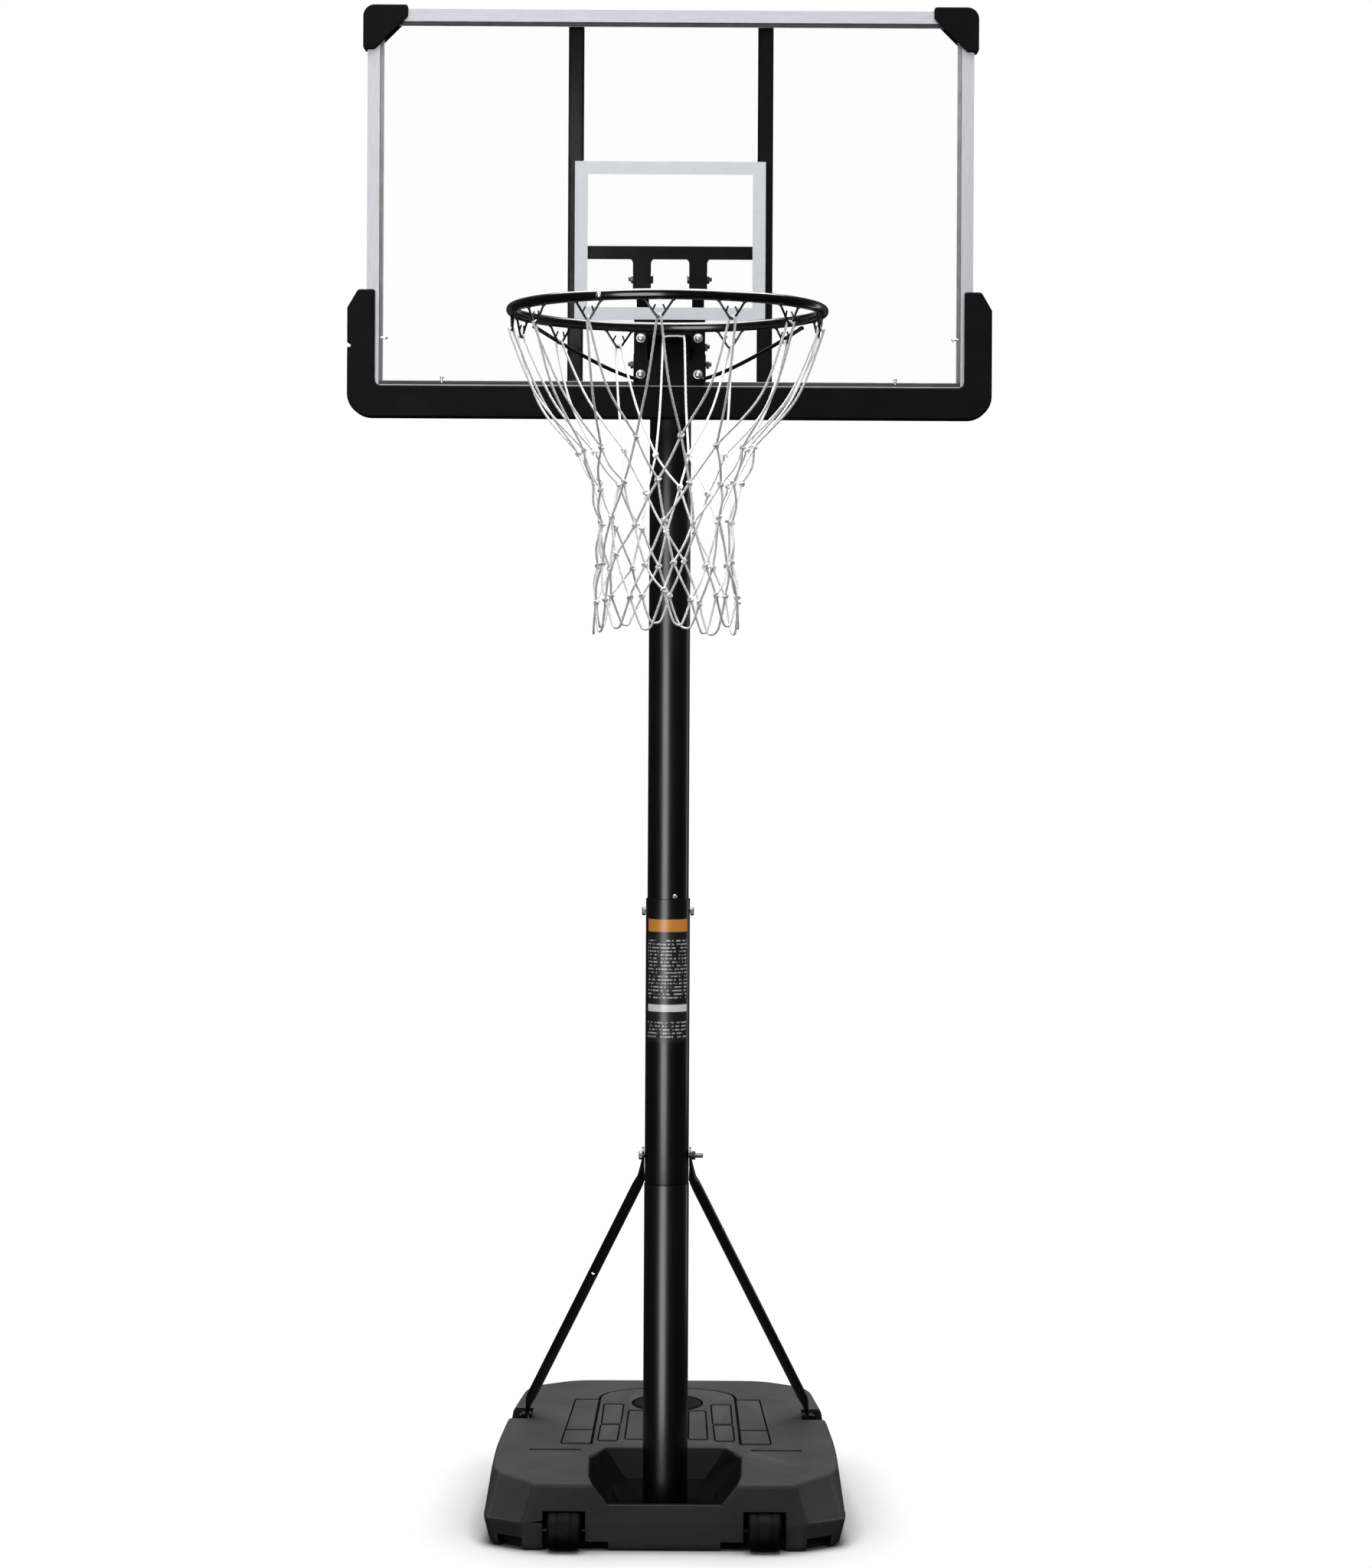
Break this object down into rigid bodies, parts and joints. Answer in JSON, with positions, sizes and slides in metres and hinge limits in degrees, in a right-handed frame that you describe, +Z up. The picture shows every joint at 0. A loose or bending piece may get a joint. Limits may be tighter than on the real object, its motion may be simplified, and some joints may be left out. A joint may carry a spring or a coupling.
{
  "type": "portable basketball hoop",
  "caption": "Free-standing basketball hoop: wheeled ballast base, telescoping steel pole, rear struts, clear framed backboard, steel rim and net.",
  "frame": {"origin": "centre of the overall box in plan, at the floor under the base", "axes": "+Z up; -Y is the playing side, towards which the rim stands out; +X to the right seen from the playing side"},
  "size_m": [1.05, 1.5146, 2.558],
  "materials": {
    "moulded_hdpe": "matte",
    "water": "gloss",
    "black_plastic": "matte",
    "wheel_rubber": "matte",
    "black_steel": "gloss",
    "zinc_steel": "satin",
    "aluminium_frame": "satin",
    "clear_panel": "gloss",
    "white_print": "satin",
    "net_cord": "matte"
  },
  "bodies": {
    "base": {"base_tank": "moulded_hdpe", "water_ballast": "water", "lower_pole": "black_steel", "middle_pole": "black_steel", "strut_left": "black_steel", "strut_right": "black_steel", "strut_bolt": "zinc_steel", "strut_nut": "zinc_steel", "foot_bracket_left": "black_steel", "foot_bracket_right": "black_steel", "foot_bolt_left": "zinc_steel", "foot_bolt_right": "zinc_steel", "lock_screw_left": "zinc_steel", "lock_screw_right": "zinc_steel", "height_label": "white_print", "wheel_axle_left": "zinc_steel", "wheel_axle_right": "zinc_steel"},
    "wheel_left": {"wheel_left": "wheel_rubber"},
    "wheel_right": {"wheel_right": "wheel_rubber"},
    "fill_cap": {"fill_cap": "black_plastic"},
    "head": {"pole_cap": "black_plastic", "bottom_trim": "black_plastic", "corner_cap_left": "black_plastic", "corner_cap_right": "black_plastic", "upper_pole": "black_steel", "rear_upright_left": "black_steel", "rear_upright_right": "black_steel", "upper_crossbar": "black_steel", "lower_crossbar": "black_steel", "upper_arm_left": "black_steel", "upper_arm_right": "black_steel", "lower_arm_left": "black_steel", "lower_arm_right": "black_steel", "rim_ring": "black_steel", "rim_bracket": "black_steel", "rim_brace_left": "black_steel", "rim_brace_right": "black_steel", "button_spring": "zinc_steel", "upper_front_bolt_left": "zinc_steel", "upper_front_bolt_right": "zinc_steel", "lower_front_bolt_left": "zinc_steel", "lower_front_bolt_right": "zinc_steel", "upper_pole_bolt": "zinc_steel", "lower_pole_bolt": "zinc_steel", "plate_bolt_upper_left": "zinc_steel", "plate_bolt_upper_right": "zinc_steel", "plate_bolt_lower_left": "zinc_steel", "plate_bolt_lower_right": "zinc_steel", "frame_top_rail": "aluminium_frame", "frame_bottom_rail": "aluminium_frame", "frame_left_rail": "aluminium_frame", "frame_right_rail": "aluminium_frame", "board_panel": "clear_panel", "target_square": "white_print", "net": "net_cord"},
    "snap_button": {"snap_button": "zinc_steel"}
  },
  "joints": [
    {"name": "height_slide", "type": "slide", "parent": "base", "child": "head", "axis": [0, 0, 1], "range_m": [0, 0.3]},
    {"name": "wheel_left_spin", "type": "hinge", "parent": "base", "child": "wheel_left", "pos_m": [-0.1685, 0.03925, 0.0325], "axis": [1, 0, 0], "continuous": true},
    {"name": "wheel_right_spin", "type": "hinge", "parent": "base", "child": "wheel_right", "pos_m": [0.1685, 0.03925, 0.0325], "axis": [1, 0, 0], "continuous": true},
    {"name": "fill_cap_lift", "type": "slide", "parent": "base", "child": "fill_cap", "axis": [0, 0, 1], "range_m": [0, 0.08]},
    {"name": "snap_button_press", "type": "slide", "parent": "head", "child": "snap_button", "axis": [-0.3256, 0.9455, 0], "range_m": [0, 0.0045], "stiffness_N_per_m": 400, "springref_m": -0.004}
  ]
}
